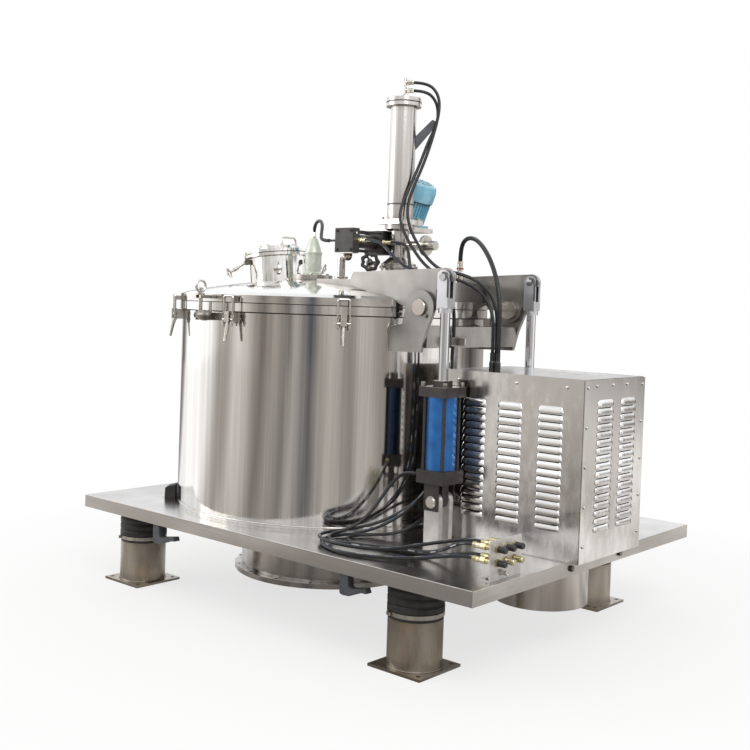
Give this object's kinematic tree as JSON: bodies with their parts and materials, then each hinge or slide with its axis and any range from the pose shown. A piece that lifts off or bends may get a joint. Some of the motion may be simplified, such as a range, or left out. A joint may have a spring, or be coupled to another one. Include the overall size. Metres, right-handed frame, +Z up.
{
  "type": "scraper centrifuge",
  "caption": "Vertical basket scraper centrifuge on a sprung platform, with a hydraulic flip-open lid, side louvred drive cover and bottom discharge neck.",
  "frame": {"origin": "on the floor, under the middle of the whole machine", "axes": "+Z up, +X from the basket side to the drive cover, +Y to the back"},
  "size_m": [2.68, 1.9032, 2.72],
  "materials": {
    "platform_steel": "satin",
    "foot_steel": "satin",
    "band_steel": "polished",
    "rubber": "matt",
    "hose_rubber": "satin",
    "conduit_grey": "satin",
    "mirror_steel": "polished",
    "satin_steel": "satin",
    "bracket_steel": "satin",
    "zinc": "satin",
    "chrome": "polished",
    "blue_paint": "satin",
    "dark_paint": "satin",
    "cover_steel": "satin",
    "brass": "satin",
    "motor_paint": "satin",
    "lamp_paint": "satin",
    "bright_steel": "polished",
    "cast_steel": "satin"
  },
  "bodies": {
    "frame": {"glands": "brass", "platform": "platform_steel", "foot_posts": "foot_steel", "foot_bands": "band_steel", "foot_bellows": "rubber", "casing_shell": "mirror_steel", "casing_rim": "mirror_steel", "casing_floor": "mirror_steel", "outlet_neck": "satin_steel", "spindle_housing": "satin_steel", "basket": "satin_steel", "hinge_brackets": "bracket_steel", "hinge_pins": "satin_steel", "hinge_beam": "bracket_steel", "lift_feet": "satin_steel", "drive_cover": "cover_steel", "drive_drum": "satin_steel", "bulkhead": "cover_steel", "couplings": "brass", "far_bails": "bright_steel", "clamp_levers": "cast_steel", "clamp_lugs": "satin_steel"},
    "lid": {"lid": "mirror_steel", "lid_gasket": "rubber", "lid_arms": "bracket_steel", "lid_deck": "satin_steel", "scraper_housing": "satin_steel", "scraper_column": "satin_steel", "column_cap": "satin_steel", "swing_motor": "motor_paint", "swing_cylinder": "dark_paint", "scraper_shaft": "satin_steel", "port_neck": "mirror_steel", "head_fittings": "brass", "conduit_lamp": "conduit_grey", "hose_column_upper": "hose_rubber", "hose_column_lower": "hose_rubber", "conduit_deck": "conduit_grey", "hose_swing_front": "hose_rubber", "hose_swing_rear": "hose_rubber", "lamp_pad": "satin_steel", "lamp": "lamp_paint", "lid_hooks": "satin_steel"},
    "hatch": {"port_cover": "mirror_steel"},
    "barrel_front": {"tube_front": "blue_paint", "caps_front": "dark_paint", "hose_lift_front": "hose_rubber"},
    "barrel_rear": {"tube_rear": "blue_paint", "caps_rear": "dark_paint", "hose_lift_rear": "hose_rubber"},
    "rod_front": {"rod_front": "chrome", "fork_front": "zinc"},
    "rod_rear": {"rod_rear": "chrome", "fork_rear": "zinc"},
    "bail_left": {"bail_left": "bright_steel"},
    "bail_middle": {"bail_middle": "bright_steel"},
    "bail_right": {"bail_right": "bright_steel"},
    "ring_bolt": {"ring_bolt": "bright_steel"}
  },
  "joints": [
    {"name": "lid_hinge", "type": "hinge", "parent": "frame", "child": "lid", "pos_m": [0.506, 0, 1.529], "axis": [0, 1, 0], "range_deg": [0, 50], "deforming": ["hose_column_upper", "hose_column_lower", "conduit_deck", "hose_swing_front", "hose_swing_rear"]},
    {"name": "barrel_tilt_front", "type": "hinge", "parent": "frame", "child": "barrel_front", "pos_m": [0.635, -0.364, 0.634], "axis": [0, 1, 0], "range_deg": [0, 4.8], "deforming": ["hose_lift_front"]},
    {"name": "rod_stroke_front", "type": "slide", "parent": "barrel_front", "child": "rod_front", "axis": [0, 0, 1], "range_m": [-0.1436, 0]},
    {"name": "barrel_tilt_rear", "type": "hinge", "parent": "frame", "child": "barrel_rear", "pos_m": [0.635, 0.364, 0.634], "axis": [0, 1, 0], "range_deg": [0, 4.8], "deforming": ["hose_lift_rear"]},
    {"name": "rod_stroke_rear", "type": "slide", "parent": "barrel_rear", "child": "rod_rear", "axis": [0, 0, 1], "range_m": [-0.1436, 0]},
    {"name": "bail_left_swing", "type": "hinge", "parent": "frame", "child": "bail_left", "pos_m": [-0.86966, -0.74571, 1.44], "axis": [0.8513, -0.5247, 0], "range_deg": [0, 90]},
    {"name": "bail_middle_swing", "type": "hinge", "parent": "frame", "child": "bail_middle", "pos_m": [-0.29945, -0.869, 1.44], "axis": [0.992, 0.1262, 0], "range_deg": [0, 90]},
    {"name": "bail_right_swing", "type": "hinge", "parent": "frame", "child": "bail_right", "pos_m": [0.22173, -0.60687, 1.44], "axis": [0.6928, 0.7212, 0], "range_deg": [0, 90]},
    {"name": "ring_bolt_swing", "type": "hinge", "parent": "frame", "child": "ring_bolt", "pos_m": [-0.44853, -0.91919, 1.45], "axis": [0.9991, -0.0419, 0], "range_deg": [0, 90]},
    {"name": "hatch_hinge", "type": "hinge", "parent": "lid", "child": "hatch", "pos_m": [-1.09058, 0, 1.78594], "axis": [0, -1, 0], "range_deg": [0, 100]}
  ],
  "couplings": [
    {"joint": "barrel_tilt_front", "follows": "lid_hinge", "ratio": 0.09536},
    {"joint": "rod_stroke_front", "follows": "lid_hinge", "m_per_rad": -0.16426},
    {"joint": "barrel_tilt_rear", "follows": "lid_hinge", "ratio": 0.09536},
    {"joint": "rod_stroke_rear", "follows": "lid_hinge", "m_per_rad": -0.16426},
    {"joint": "bail_left_swing", "follows": "lid_hinge", "ratio": 1.8},
    {"joint": "bail_middle_swing", "follows": "lid_hinge", "ratio": 1.8},
    {"joint": "bail_right_swing", "follows": "lid_hinge", "ratio": 1.8},
    {"joint": "ring_bolt_swing", "follows": "lid_hinge", "ratio": 1.8}
  ]
}
